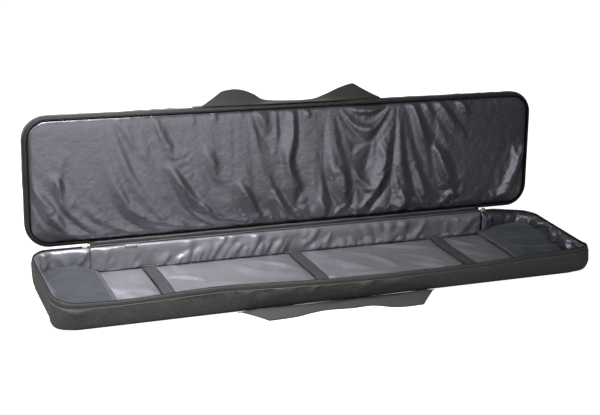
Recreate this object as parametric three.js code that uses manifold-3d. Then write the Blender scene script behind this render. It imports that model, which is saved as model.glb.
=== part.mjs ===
// Soft rod case, lying open: a shallow padded tray with a zip-around lid that stands up on a
// fabric hinge along the rear rim. Millimetres, +X along the case, +Y to the rear, +Z up.
// The origin is at the middle of the underside.
import * as THREE from 'three';
import * as BufferGeometryUtils from 'three/addons/utils/BufferGeometryUtils.js';
import Module from 'manifold-3d';

const wasm = await Module();
wasm.setup();

// ---- driving dimensions -------------------------------------------------------------------
const LENGTH = 1304; // over the rim, end to end
const DEPTH = 298; // over the rim, front to rear
const CORNER_R = 55; // plan radius of every corner at the rim
const ARC_STEPS = 8; // flats in a corner
const TRAY_DRAFT = 4; // how far the tray narrows from its rim to its underside
const LID_DRAFT = 3; // how far the lid narrows from its rim to its back
const CLEAR = 0.3; // gap kept between pieces that touch

const SHELL_T = 1.2; // outer polyester with its backing
const BOARD_T = 2; // polyethylene stiffener
const FLOOR_FOAM_T = 3;
const LID_FOAM_T = 10;
const WALL_FOAM_T = 6;
const LINING_T = 0.8;
const TAPE_T = 1;
const COIL_R = 1.1;
const COIL_INSET = 1; // coil centre inside the rim line

const TRAY_SEAM_Z = 57; // where the zip tape starts on the tray wall
const TRAY_REAR_TOP = 69.2; // the hinged rear wall reaches up between the zip ends
const TRAY_COIL_Z = 70;
const HINGE_Y = 150;
const HINGE_Z = 72;
const LID_COIL_Z = 74; // lid heights are those of the closed case
const LID_REAR_BOTTOM = 74.8; // and the lid's rear wall down to here
const LID_SEAM_Z = 86;
const LID_TOP = 112;
const LID_OPEN = THREE.MathUtils.degToRad(96); // the lid leans 6 degrees past upright
const ZIP_END = 512; // the zip stops here on the rear rim, left and right

const FOAM_FACE = SHELL_T + CLEAR; // rim line to the outer face of the wall foam
const LINING_FACE = FOAM_FACE + WALL_FOAM_T + CLEAR; // rim line to the back of the wall lining
const INNER_FACE = LINING_FACE + LINING_T; // rim line to the visible face of the lining
const BOARD_Z = SHELL_T + CLEAR;
const FOAM_Z = BOARD_Z + BOARD_T + CLEAR;
const LINER_Z = FOAM_Z + FLOOR_FOAM_T + CLEAR;
const FLOOR_TOP = LINER_Z + LINING_T;

const STRAP_X = [-376, -11, 376]; // middle of each rod strap
const STRAP_W = 30;
const STRAP_T = 1.6;
const STRAP_REACH = 134; // half the width of floor that a strap crosses
const PATCH_T = 1.2;

const POCKET_MOUTH = [-497, 504]; // X of each end pocket's open edge
const POCKET_RISE = 9; // height of its arched top at the middle
const POCKET_T = 1.4;
const POCKET_HALF_W = 133;

const WEBBING_T = 2.5;
const HANDLE_TAB = [-228, 204]; // X of each pair of sewn handle ends
const HANDLE_TAB_W = 50;

// ---- materials ----------------------------------------------------------------------------
const cloth = (color, roughness) => new THREE.MeshStandardMaterial({ color, roughness, metalness: 0 });
const shellFabric = () => cloth(0x4a4848, 0.85);
const satin = () => cloth(0x6c6a76, 0.35);
const tricot = () => cloth(0x4d575c, 0.95);
const webbing = () => cloth(0x5a5654, 0.8);
const tapeCloth = () => cloth(0x3c3c40, 0.8);
const coilNylon = () => cloth(0x151517, 0.45);
const foam = () => cloth(0x2d2d2f, 0.95);
const plastic = () => cloth(0x202022, 0.5);
const binding = () => cloth(0x6e6e74, 0.7);
const plating = () => new THREE.MeshStandardMaterial({ color: 0xb9b4a0, roughness: 0.3, metalness: 1 });

// ---- geometry helpers ---------------------------------------------------------------------
// Turns a closed indexed mesh inside out if its faces point inwards.
function facingOut(geometry) {
  const p = geometry.getAttribute('position');
  const index = geometry.getIndex().array;
  const [a, b, c] = [new THREE.Vector3(), new THREE.Vector3(), new THREE.Vector3()];
  let volume = 0;
  for (let i = 0; i < index.length; i += 3) {
    a.fromBufferAttribute(p, index[i]);
    b.fromBufferAttribute(p, index[i + 1]);
    c.fromBufferAttribute(p, index[i + 2]);
    volume += a.dot(b.cross(c));
  }
  if (volume < 0) geometry.setIndex(Array.from(index).reverse());
  geometry.computeVertexNormals();
  return geometry;
}

// A closed body from rings of points, all with as many points; the first and last ring are
// capped, or joined to each other when the body is a loop.
function loft(rings, loop = false) {
  const n = rings[0].length;
  const index = [];
  const spans = loop ? rings.length : rings.length - 1;
  for (let i = 0; i < spans; i += 1) {
    const next = (i + 1) % rings.length;
    for (let j = 0; j < n; j += 1) {
      const k = (j + 1) % n;
      index.push(i * n + j, i * n + k, next * n + k, i * n + j, next * n + k, next * n + j);
    }
  }
  if (!loop) {
    const last = (rings.length - 1) * n;
    for (let j = 1; j < n - 1; j += 1) {
      index.push(0, j + 1, j, last, last + j, last + j + 1);
    }
  }
  const geometry = new THREE.BufferGeometry();
  geometry.setAttribute('position', new THREE.Float32BufferAttribute(rings.flat(2), 3));
  geometry.setIndex(index);
  return facingOut(geometry);
}

// A quarter of the rim round the corner at (sx, sy), from one angle to another.
function corner(sx, sy, fromAngle) {
  const points = [];
  for (let i = 0; i <= ARC_STEPS; i += 1) {
    const angle = fromAngle + (Math.PI / 2) * (i / ARC_STEPS);
    const nx = Math.cos(angle);
    const ny = Math.sin(angle);
    points.push({
      x: sx * (LENGTH / 2 - CORNER_R) + CORNER_R * nx,
      y: sy * (DEPTH / 2 - CORNER_R) + CORNER_R * ny,
      nx,
      ny,
    });
  }
  return points;
}

const rear = (x) => ({ x, y: DEPTH / 2, nx: 0, ny: 1 });
const front = (x) => ({ x, y: -DEPTH / 2, nx: 0, ny: -1 });
const FRONT_END = LENGTH / 2 - CORNER_R; // where the straight front meets its corners
const LEFT_ENDS = [...corner(-1, 1, Math.PI / 2), ...corner(-1, -1, Math.PI)];
const RIGHT_ENDS = [...corner(1, -1, 1.5 * Math.PI), ...corner(1, 1, 2 * Math.PI)];

// The parts of the rim line, each with its outward normals.
const RIM = {
  all: [...LEFT_ENDS, ...RIGHT_ENDS],
  zip: [rear(-ZIP_END), ...LEFT_ENDS, ...RIGHT_ENDS, rear(ZIP_END)],
  left: [rear(-ZIP_END - CLEAR), ...LEFT_ENDS],
  right: [...RIGHT_ENDS, rear(ZIP_END + CLEAR)],
  front: [front(-FRONT_END + CLEAR), front(FRONT_END - CLEAR)],
};

// Sweeps a section of [outward offset, height] points along part of the rim.
function alongRim(path, section, loop = false) {
  const ring = (p) => section.map(([out, z]) => [p.x + p.nx * out, p.y + p.ny * out, z]);
  return loft(path.map(ring), loop);
}

// A coil or piping cord: an eight-sided section at one offset and height.
function cordSection(out, z, radius) {
  const points = [];
  for (let i = 0; i < 8; i += 1) {
    const angle = ((i + 0.5) * Math.PI) / 4;
    points.push([out + radius * Math.cos(angle), z + radius * Math.sin(angle)]);
  }
  return points;
}

// A wall between two heights whose outer face goes from one offset to another.
const wallSection = (z0, z1, out0, out1, thick) => [
  [out0, z0],
  [out1, z1],
  [out1 - thick, z1],
  [out0 - thick, z0],
];

// A flat panel with the rim's outline, moved in by an inset.
function panel(inset, z0, z1) {
  const outline = RIM.all.map((p) => [p.x - p.nx * inset, p.y - p.ny * inset]);
  return loft([outline.map(([x, y]) => [x, y, z0]), outline.map(([x, y]) => [x, y, z1])]);
}

function box(x, y, z) {
  const geometry = new THREE.BoxGeometry(x[1] - x[0], y[1] - y[0], z[1] - z[0]);
  return geometry.translate((x[0] + x[1]) / 2, (y[0] + y[1]) / 2, (z[0] + z[1]) / 2);
}

// A strip of webbing between two edge lines, with an even thickness.
function ribbon(nearEdge, farEdge, thick) {
  const near = nearEdge.map((p) => new THREE.Vector3(...p));
  const far = farEdge.map((p) => new THREE.Vector3(...p));
  const last = near.length - 1;
  const rings = near.map((a, i) => {
    const b = far[i];
    const along = near[Math.min(i + 1, last)].clone().sub(near[Math.max(i - 1, 0)]);
    const half = b.clone().sub(a).cross(along).normalize().multiplyScalar(thick / 2);
    return [
      a.clone().add(half), b.clone().add(half), b.clone().sub(half), a.clone().sub(half),
    ].map((v) => v.toArray());
  });
  return loft(rings);
}

// Points of a smooth line through a few hand-placed ones.
function smooth(points, steps) {
  const curve = new THREE.CatmullRomCurve3(points.map((p) => new THREE.Vector3(...p)));
  return curve.getPoints(steps).map((v) => v.toArray());
}

function solid(geometry) {
  const bare = geometry.clone();
  bare.deleteAttribute('normal');
  bare.deleteAttribute('uv');
  const merged = BufferGeometryUtils.mergeVertices(bare, 1e-4);
  return new wasm.Manifold(new wasm.Mesh({
    numProp: 3,
    vertProperties: new Float32Array(merged.getAttribute('position').array),
    triVerts: new Uint32Array(merged.getIndex().array),
  }));
}

function common(first, second) {
  const mesh = solid(first).intersect(solid(second)).getMesh();
  const geometry = new THREE.BufferGeometry();
  geometry.setAttribute('position', new THREE.Float32BufferAttribute(mesh.vertProperties, 3));
  geometry.setIndex(Array.from(mesh.triVerts));
  geometry.computeVertexNormals();
  return geometry;
}

function piece(name, geometry, material) {
  const mesh = new THREE.Mesh(geometry, material);
  mesh.name = name;
  return mesh;
}

// ---- tray: outer fabric, stiffener, foam and lining -----------------------------------------
function trayShell() {
  const wall = wallSection(BOARD_Z, TRAY_SEAM_Z, -TRAY_DRAFT, 0, SHELL_T);
  const hinged = [
    [-TRAY_DRAFT, BOARD_Z],
    [0, TRAY_SEAM_Z],
    [0, TRAY_REAR_TOP],
    [-SHELL_T, TRAY_REAR_TOP],
    [-SHELL_T, TRAY_SEAM_Z],
    [-TRAY_DRAFT - SHELL_T, BOARD_Z],
  ];
  return [
    piece('tray_bottom_panel', panel(TRAY_DRAFT, 0, SHELL_T), shellFabric()),
    piece('tray_front_wall', alongRim(RIM.front, wall), shellFabric()),
    piece('tray_left_end_wall', alongRim(RIM.left, wall), shellFabric()),
    piece('tray_right_end_wall', alongRim(RIM.right, wall), shellFabric()),
    piece('tray_rear_wall', hingedWall(hinged), shellFabric()),
  ];
}

// A wall along the straight rear rim between the zip ends, from a section bent at its seam.
function hingedWall(section) {
  const shape = new THREE.Shape(section.map(([out, z]) => new THREE.Vector2(DEPTH / 2 + out, z)));
  return standing(shape, -ZIP_END + CLEAR, ZIP_END - CLEAR);
}

// Extrudes a YZ outline along X.
function standing(shape, x0, x1) {
  const geometry = new THREE.ExtrudeGeometry(shape, { depth: x1 - x0, bevelEnabled: false });
  const toWorld = new THREE.Matrix4().set(0, 0, 1, x0, 1, 0, 0, 0, 0, 1, 0, 0, 0, 0, 0, 1);
  return geometry.applyMatrix4(toWorld);
}

function trayPadding() {
  const inset = TRAY_DRAFT + SHELL_T + CLEAR;
  const foamSection = wallSection(
    LINER_Z + LINING_T + CLEAR, TRAY_SEAM_Z - CLEAR, -FOAM_FACE - TRAY_DRAFT, -FOAM_FACE, WALL_FOAM_T,
  );
  return [
    piece('tray_stiffener_board', panel(inset, BOARD_Z, BOARD_Z + BOARD_T), plastic()),
    piece('tray_floor_foam', panel(inset, FOAM_Z, FOAM_Z + FLOOR_FOAM_T), foam()),
    piece('tray_wall_foam', alongRim(RIM.all, foamSection, true), foam()),
  ];
}

function trayLining() {
  const side = wallSection(
    FLOOR_TOP + CLEAR, TRAY_SEAM_Z + 3, -LINING_FACE - TRAY_DRAFT, -LINING_FACE, LINING_T,
  );
  const seam = (path) => alongRim(path, side);
  const pipe = cordSection(-INNER_FACE - TRAY_DRAFT - 2.2, FLOOR_TOP + 2, 1.6);
  const pipeRun = [rear(POCKET_MOUTH[0] + 12), rear(POCKET_MOUTH[1] - 12)];
  return [
    piece('tray_rear_lining', seam([rear(-ZIP_END + CLEAR), rear(ZIP_END - CLEAR)]), satin()),
    piece('tray_left_end_lining', seam(RIM.left), satin()),
    piece('tray_right_end_lining', seam(RIM.right), satin()),
    piece('tray_front_lining', seam(RIM.front), satin()),
    piece('tray_floor_liner', panel(TRAY_DRAFT + SHELL_T + CLEAR, LINER_Z, FLOOR_TOP), satin()),
    piece('tray_floor_piping', alongRim(pipeRun, pipe), binding()),
  ];
}

// ---- end pockets ---------------------------------------------------------------------------
// A pocket's arched top between two offsets above the floor, as a YZ outline.
function archOutline(lower, upper) {
  const steps = 12;
  const arch = (lift, i) => {
    const across = -1 + (2 * i) / steps;
    const rise = POCKET_RISE * Math.cos((across * Math.PI) / 2);
    return new THREE.Vector2(across * POCKET_HALF_W, FLOOR_TOP + lift + rise);
  };
  const outline = [];
  for (let i = 0; i <= steps; i += 1) outline.push(arch(lower, i));
  for (let i = steps; i >= 0; i -= 1) outline.push(arch(upper, i));
  return new THREE.Shape(outline);
}

function endPocket(side, mouth) {
  const name = side < 0 ? 'left' : 'right';
  const end = side * (LENGTH / 2);
  const [x0, x1] = side < 0 ? [end, mouth] : [mouth, end];
  const sheet = standing(archOutline(CLEAR + 0.4, CLEAR + 0.4 + POCKET_T), x0, x1);
  const room = panel(INNER_FACE + TRAY_DRAFT + 1, 0, TRAY_SEAM_Z);
  const edge = [mouth - side * 4.5, mouth - side * CLEAR].sort((a, b) => a - b);
  const bound = standing(archOutline(CLEAR, CLEAR + POCKET_T + 0.8), ...edge);
  return [
    piece(`${name}_end_pocket`, common(sheet, room), tricot()),
    piece(`${name}_pocket_binding`, bound, binding()),
  ];
}

// ---- rod straps ----------------------------------------------------------------------------
function rodStraps() {
  const strapZ = FLOOR_TOP + CLEAR + PATCH_T + CLEAR;
  return STRAP_X.flatMap((x, i) => {
    const across = [x - STRAP_W / 2, x + STRAP_W / 2];
    const strap = box(across, [-STRAP_REACH, STRAP_REACH - 6], [strapZ, strapZ + STRAP_T]);
    const patch = box(across, [-STRAP_REACH, -STRAP_REACH + 45], [strapZ - CLEAR - PATCH_T, strapZ - CLEAR]);
    return [
      piece(`rod_strap_${i + 1}`, strap, webbing()),
      piece(`rod_strap_patch_${i + 1}`, patch, tapeCloth()),
    ];
  });
}

// ---- zip and rear hinge --------------------------------------------------------------------
function zipHalf(owner, tapeZ, coilZ) {
  const tape = wallSection(tapeZ[0], tapeZ[1], 0, 0, TAPE_T);
  return [
    piece(`${owner}_zip_tape`, alongRim(RIM.zip, tape), tapeCloth()),
    piece(`${owner}_zip_coil`, alongRim(RIM.zip, cordSection(-COIL_INSET, coilZ, COIL_R)), coilNylon()),
  ];
}

function zipEndTabs() {
  return [-1, 1].map((side) => {
    const x = [side * (ZIP_END - 12), side * (ZIP_END - 1)].sort((a, b) => a - b);
    const tab = box(x, [DEPTH / 2 - 4.6, DEPTH / 2 - 1.8], [61, 70.5]);
    return piece(`${side < 0 ? 'left' : 'right'}_zip_end_tab`, tab, webbing());
  });
}

const SLIDER_L = 15;
const SLIDER_X = ZIP_END + 2 + SLIDER_L / 2;
const SLIDER_BOTTOM = 62;

// A slider is a channel that straddles the coil; its pull hangs outside, below the outer wing.
function slider(side) {
  const rim = DEPTH / 2;
  const section = [
    [rim - 4.1, SLIDER_BOTTOM],
    [rim - 4.1, 72.4],
    [rim + 1.1, 72.4],
    [rim + 1.1, SLIDER_BOTTOM],
    [rim + 0.4, SLIDER_BOTTOM],
    [rim + 0.4, 71.5],
    [rim - 2.4, 71.5],
    [rim - 2.4, SLIDER_BOTTOM],
  ];
  const shape = new THREE.Shape(section.map(([y, z]) => new THREE.Vector2(y, z)));
  const x = side * SLIDER_X;
  const name = side < 0 ? 'left' : 'right';
  const pull = box([x - 4, x + 4], [rim + 0.5, rim + 1.7], [31, SLIDER_BOTTOM - CLEAR]);
  return [
    piece(`${name}_zip_slider`, standing(shape, x - SLIDER_L / 2, x + SLIDER_L / 2), plating()),
    piece(`${name}_zip_puller`, pull, plating()),
  ];
}

function rearHinge() {
  const run = [rear(-ZIP_END + 14), rear(ZIP_END - 14)];
  const rim = DEPTH / 2;
  const web = box([-ZIP_END + 2, ZIP_END - 2], [rim + CLEAR, rim + CLEAR + 0.9], [64, 73.5]);
  const loop = box([-421, -409], [rim - 11.5, rim - 9.9], [51, 64]);
  return [
    piece('fabric_hinge', web, shellFabric()),
    piece('tray_rear_binding', alongRim(run, cordSection(-3, 67.6, 1.4)), binding()),
    piece('small_loop_tab', loop, binding()),
  ];
}

// ---- lid, in the place it has on the closed case ---------------------------------------------
function lidShell() {
  const wall = wallSection(LID_SEAM_Z, LID_TOP - BOARD_Z, 0, -LID_DRAFT, SHELL_T);
  const hinged = [
    [0, LID_REAR_BOTTOM],
    [0, LID_SEAM_Z],
    [-LID_DRAFT, LID_TOP - BOARD_Z],
    [-LID_DRAFT - SHELL_T, LID_TOP - BOARD_Z],
    [-SHELL_T, LID_SEAM_Z],
    [-SHELL_T, LID_REAR_BOTTOM],
  ];
  return [
    piece('lid_back_panel', panel(LID_DRAFT, LID_TOP - SHELL_T, LID_TOP), shellFabric()),
    piece('lid_front_wall', alongRim(RIM.front, wall), shellFabric()),
    piece('lid_left_end_wall', alongRim(RIM.left, wall), shellFabric()),
    piece('lid_right_end_wall', alongRim(RIM.right, wall), shellFabric()),
    piece('lid_rear_wall', hingedWall(hinged), shellFabric()),
  ];
}

function lidPadding() {
  const inset = LID_DRAFT + SHELL_T + CLEAR;
  const boardTop = LID_TOP - BOARD_Z;
  const liningZ = LID_REAR_BOTTOM + 1;
  const liningT = 2; // quilted to a thin wadding
  const foamTop = boardTop - BOARD_T - CLEAR;
  const foamBottom = foamTop - LID_FOAM_T;
  const side = wallSection(
    LID_SEAM_Z + CLEAR, foamBottom - CLEAR, -FOAM_FACE, -FOAM_FACE - LID_DRAFT, WALL_FOAM_T,
  );
  const run = [rear(-ZIP_END + 14), rear(ZIP_END - 14)];
  return [
    piece('lid_stiffener_board', panel(inset, boardTop - BOARD_T, boardTop), plastic()),
    piece('lid_foam_pad', panel(inset, foamBottom, foamTop), foam()),
    piece('lid_wall_foam', alongRim(RIM.all, side, true), foam()),
    piece('lid_lining', panel(SHELL_T + 1.3, liningZ, liningZ + liningT), satin()),
    piece('lid_rear_binding', alongRim(run, cordSection(-4.5, LID_COIL_Z, 1.4)), binding()),
  ];
}

// ---- carrying handles ------------------------------------------------------------------------
const HANDLE_STEPS = 22;

// The lid's handle stands off its front wall: upright at both ends, flat in the middle. Points
// are [x, distance off the wall, height on the closed case].
function lidHandle() {
  const off = -DEPTH / 2 - 2.5;
  const place = ([x, out, z]) => [x, off - out, z];
  const near = [
    [-238, 1.5, 84], [-200, 2.5, 80], [-150, 3, 78], [-100, 3, 78], [-50, 4, 78], [0, 4, 78],
    [50, 4, 78], [100, 3.5, 78], [145, 3, 80], [190, 2.5, 84], [214, 1.5, 88],
  ];
  const far = [
    [-178, 37, 112], [-168, 41, 112], [-140, 36, 114], [-105, 22, 122], [-66, 11, 126], [-10, 9, 127],
    [50, 10, 127], [92, 22, 123], [126, 37, 116], [146, 42, 112], [156, 37, 112],
  ];
  const handle = ribbon(
    smooth(near.map(place), HANDLE_STEPS), smooth(far.map(place), HANDLE_STEPS), WEBBING_T,
  );
  const tabs = HANDLE_TAB.map((x, i) => piece(
    `lid_handle_tab_${i + 1}`,
    box([x - HANDLE_TAB_W / 2, x + HANDLE_TAB_W / 2], [off - 0.2, off + 2], [90, 108]),
    webbing(),
  ));
  return { tabs, handle: piece('lid_handle', handle, webbing()) };
}

// The tray's handle lies on the ground along the front wall.
function trayHandle() {
  const wall = -DEPTH / 2;
  const near = [
    [-247, wall - 1, 3], [-215, wall - 2, 9], [-160, wall - 2.5, 8], [-100, wall - 3, 6], [-50, wall - 3, 5],
    [0, wall - 4, 3], [60, wall - 4, 3], [110, wall - 3.5, 5], [160, wall - 2.5, 9], [200, wall - 2, 9],
    [223, wall - 1, 3],
  ];
  const far = [
    [-202, -206, 1.6], [-190, -206, 1.6], [-136, -203, 1.6], [-100, -194, 1.6], [-60, -188, 1.6],
    [0, -193, 1.6], [50, -193, 1.6], [90, -212, 1.6], [120, -218, 1.6], [155, -218, 1.6], [166, -217, 1.6],
  ];
  const handle = ribbon(smooth(near, HANDLE_STEPS), smooth(far, HANDLE_STEPS), WEBBING_T);
  const tabs = HANDLE_TAB.map((x, i) => piece(
    `tray_handle_tab_${i + 1}`,
    box([x - HANDLE_TAB_W / 2, x + HANDLE_TAB_W / 2], [wall + 1, wall + 3], [0.3, 1.3]),
    webbing(),
  ));
  return { tabs, handle: piece('tray_handle', handle, webbing()) };
}

// ---- assembly --------------------------------------------------------------------------------
const lidHandleParts = lidHandle();
const trayHandleParts = trayHandle();

const tray = new THREE.Group();
tray.add(
  ...trayShell(), ...trayPadding(), ...trayLining(),
  ...endPocket(-1, POCKET_MOUTH[0]), ...endPocket(1, POCKET_MOUTH[1]),
  ...rodStraps(), ...zipHalf('tray', [TRAY_SEAM_Z + CLEAR, TRAY_COIL_Z - COIL_R - CLEAR], TRAY_COIL_Z),
  ...zipEndTabs(), ...slider(-1), ...slider(1), ...rearHinge(),
  ...trayHandleParts.tabs, trayHandleParts.handle,
);

// The lid is built closed, then turned about the hinge to where it stands open.
const closedLid = new THREE.Group();
closedLid.position.set(0, -HINGE_Y, -HINGE_Z);
closedLid.add(
  ...lidShell(), ...lidPadding(),
  ...zipHalf('lid', [LID_COIL_Z + COIL_R + CLEAR, LID_SEAM_Z - CLEAR], LID_COIL_Z),
  ...lidHandleParts.tabs, lidHandleParts.handle,
);
const lid = new THREE.Group();
lid.position.set(0, HINGE_Y, HINGE_Z);
lid.rotation.x = -LID_OPEN;
lid.add(closedLid);

const rodCase = new THREE.Group();
rodCase.add(tray, lid);

export default rodCase;
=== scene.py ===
import math

import bpy
import numpy as np
from mathutils import Matrix, Vector


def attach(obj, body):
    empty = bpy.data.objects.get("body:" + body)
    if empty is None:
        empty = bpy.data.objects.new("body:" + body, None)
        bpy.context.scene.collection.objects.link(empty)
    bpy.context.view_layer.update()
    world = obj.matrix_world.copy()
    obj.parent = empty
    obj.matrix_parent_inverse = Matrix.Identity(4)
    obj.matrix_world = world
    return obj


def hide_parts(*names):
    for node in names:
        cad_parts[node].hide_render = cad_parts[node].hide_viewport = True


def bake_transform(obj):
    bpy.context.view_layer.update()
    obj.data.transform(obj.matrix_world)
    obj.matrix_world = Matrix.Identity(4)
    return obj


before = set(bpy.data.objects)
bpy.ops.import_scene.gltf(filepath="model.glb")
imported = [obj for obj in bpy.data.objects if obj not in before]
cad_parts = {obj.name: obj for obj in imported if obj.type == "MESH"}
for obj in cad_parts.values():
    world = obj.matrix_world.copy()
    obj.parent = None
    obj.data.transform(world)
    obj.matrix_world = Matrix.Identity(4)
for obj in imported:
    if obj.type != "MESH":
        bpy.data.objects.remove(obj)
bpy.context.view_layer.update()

# Everything below is in millimetres until a mesh is made.
MM = 0.001
# The rim line that the tray and the lid share: half its length and depth, and its corners' radius.
HALF_L = 652.0
HALF_D = 149.0
CORNER_R = 55.0
STRAIGHT = HALF_L - CORNER_R
SIDE = 2 * (HALF_D - CORNER_R)
ARC = math.pi / 2 * CORNER_R
# The hinge's y and z, and how far the lid stands open.
HINGE = (150.0, 72.0)
LID_OPEN = math.radians(96)
# Where the zip ends, and how wide the rear lining between its ends is.
ZIP_END = 512.0
REAR_W = 2 * ZIP_END - 0.6
# Heights of the floor, of the tray's zip coil, and of the seams under and over the zip.
FLOOR_TOP = 7.9
TRAY_COIL_Z = 70.0
SEAM_Z = 57.0
LID_SEAM_Z = 86.0
# The rod straps' places, and how far to each side of them the linings lie flatter.
STRAP_X = (-376, -11, 376)
STRAP_ROOM = 24.0


# ---- the rim line ----
# Distance along the rim starts at the middle of the rear side and runs round by the left end.
RUNS = [STRAIGHT, ARC, SIDE, ARC, 2 * STRAIGHT, ARC, SIDE, ARC, STRAIGHT]
KNOTS = np.concatenate([[0], np.cumsum(RUNS)])
AROUND = KNOTS[-1]
FRONT_LEFT = KNOTS[4]
FRONT_RIGHT = KNOTS[5]
# The straight runs by their start and direction, the corners by their centre and the half turns
# from +x where they begin.
RIM_LINES = {
    0: ((0, HALF_D), (-1, 0)),
    2: ((-HALF_L, SIDE / 2), (0, -1)),
    4: ((-STRAIGHT, -HALF_D), (1, 0)),
    6: ((HALF_L, -SIDE / 2), (0, 1)),
    8: ((STRAIGHT, HALF_D), (-1, 0)),
}
RIM_TURNS = {
    1: ((-STRAIGHT, SIDE / 2), 0.5),
    3: ((-STRAIGHT, -SIDE / 2), 1.0),
    5: ((STRAIGHT, -SIDE / 2), 1.5),
    7: ((STRAIGHT, SIDE / 2), 2.0),
}


def rim(s):
    """Points on the rim line and its outward normals at distances s."""
    s = np.mod(np.asarray(s, float), AROUND)
    k = np.clip(np.searchsorted(KNOTS, s, side="right") - 1, 0, 8)
    t = s - KNOTS[k]
    xy = np.zeros(s.shape + (2,))
    n = np.zeros(s.shape + (2,))
    for i, (start, way) in RIM_LINES.items():
        m = k == i
        n[m] = (way[1], -way[0])
        xy[m] = np.array(start) + t[m][:, None] * np.array(way)
    for i, (centre, half_turns) in RIM_TURNS.items():
        m = k == i
        angle = half_turns * math.pi + t[m] / CORNER_R
        n[m] = np.stack([np.cos(angle), np.sin(angle)], -1)
        xy[m] = np.array(centre) + n[m] * CORNER_R
    return xy, n


def stations(s0, s1, step):
    """Even places from s0 to s1, at most step apart."""
    return np.linspace(s0, s1, max(2, math.ceil((s1 - s0) / step) + 1))


def all_round(step):
    """Even places round the whole rim, without the first one again at the end."""
    return stations(0, AROUND, step)[:-1]


def near_zip(s, a, b):
    """0 along the hinge, 1 along the zip, changing between a and b beyond the zip's end."""
    return smoothstep(np.minimum(s, AROUND - s), ZIP_END + a, ZIP_END + b)


def net(a, b):
    """Two lists of places crossed into two grids."""
    return np.meshgrid(a, b, indexing="ij")


def swept(s, section):
    """A section of [outward, height] points, one for all or one for each station, along the rim."""
    xy, n = rim(s)
    sec = np.asarray(section, float)
    if sec.ndim == 2:
        sec = np.broadcast_to(sec, (len(s),) + sec.shape)
    p = np.empty(sec.shape[:2] + (3,))
    p[..., :2] = xy[:, None] + n[:, None] * sec[..., :1]
    p[..., 2] = sec[..., 1]
    return p


def rounded(points, step=3.0):
    """A smooth line through a few points, in even steps (Catmull-Rom)."""
    q = np.asarray(points, float)
    q = np.concatenate([[2 * q[0] - q[1]], q, [2 * q[-1] - q[-2]]])
    t = np.linspace(0, 1, 12, endpoint=False)[:, None]
    out = []
    for i in range(1, len(q) - 2):
        a, b, c, d = q[i - 1 : i + 3]
        out.append(b + 0.5 * t * (c - a + t * (2 * a - 5 * b + 4 * c - d + t * (3 * (b - c) + d - a))))
    fine = np.concatenate(out + [q[-2:-1]])
    return even(fine, step)


def even(line, step):
    """The line again, with its points in even steps."""
    along = length_along(line)
    at = np.linspace(0, along[-1], max(2, math.ceil(along[-1] / step) + 1))
    return np.stack([np.interp(at, along, line[:, k]) for k in range(line.shape[1])], -1)


def length_along(line):
    """The distance of each point from the first one, along the line."""
    return np.concatenate([[0], np.cumsum(np.linalg.norm(np.diff(line, axis=0), axis=1))])


def smoothstep(x, a, b):
    t = np.clip((x - a) / (b - a), 0, 1)
    return t * t * (3 - 2 * t)


# ---- how the soft case settles ----
# How far the slack front rim hangs down along x.
SAG_X = [-655, -560, -500, -430, -360, -290, -190, -80, 50, 200, 370, 470, 580, 655]
SAG_MM = [3, 8, 9, 6, 3, 0, 5, 9, 12, 13, 13, 7, 6, -1]


def curve(x, xs, ys, reach=45):
    """A soft line through a table: the straight interpolation averaged over the reach to each side."""
    return sum(np.interp(x + d, xs, ys) for d in np.linspace(-reach, reach, 7)) / 7


def soft_floor(height, share, blend=1.5):
    """Keeps what stands up and flattens what would sink in, without a visible line between them."""
    return share * height + (1 - share) * blend * np.logaddexp(0, height / blend)


def settle(p):
    """How the loaded fabric of the tray stands: a slack front rim, a bulging front, soft ends."""
    x, y, z = p[..., 0], p[..., 1], p[..., 2]
    height = np.clip(z / TRAY_COIL_Z, 0, 1.1)
    front = 1 - smoothstep(y, -146, -100)
    out = p.copy()
    bulge = 8 * np.exp(-(((x - 60) / 330) ** 2)) + 2
    out[..., 1] -= front * bulge * np.sin(np.clip(z / 78, 0, 1) * math.pi * 0.8)
    out[..., 2] -= front * height * curve(x, SAG_X, SAG_MM)
    right_end = smoothstep(x, 540, 620) * (1 - front)
    rear_left = smoothstep(-x, 588, 625) * smoothstep(y, 60, 140)
    out[..., 2] += height * (1.5 * rear_left - 8 * right_end)
    out[..., 0] += 6 * smoothstep(x, 560, 640)
    # the front right corner is pulled square, the front left one only near the bottom
    into_front = np.clip((-y - SIDE / 2) / CORNER_R, 0, 1)
    into_right = np.clip((x - STRAIGHT) / CORNER_R, 0, 1)
    into_left = np.clip((-x - STRAIGHT) / CORNER_R, 0, 1)
    right_pull = np.clip(2 * into_right * into_front, 0, 1) * (19 - 10 * height)
    left_pull = np.clip(2 * into_left * into_front, 0, 1) * np.clip(1.1 - height, 0, 1)
    out[..., 0] += 0.75 * right_pull - 12 * left_pull
    out[..., 1] -= 0.45 * right_pull + 5 * left_pull
    return out


def opened(p):
    """Points of the closed lid, turned to where it stands open."""
    c, s = math.cos(LID_OPEN), math.sin(LID_OPEN)
    dy, dz = p[..., 1] - HINGE[0], p[..., 2] - HINGE[1]
    return np.stack([p[..., 0], HINGE[0] + dy * c + dz * s, HINGE[1] - dy * s + dz * c], -1)


# How round the top of a crease is, as a share of its half width.
BLUNT = 0.12


def tent(x, blunt):
    """A ridge of two nearly flat slopes that meet in a rounded crease, running out softly at its foot."""
    return 0.06 * np.logaddexp(0, (1 + blunt - np.sqrt(x**2 + blunt**2)) / 0.06)


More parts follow.
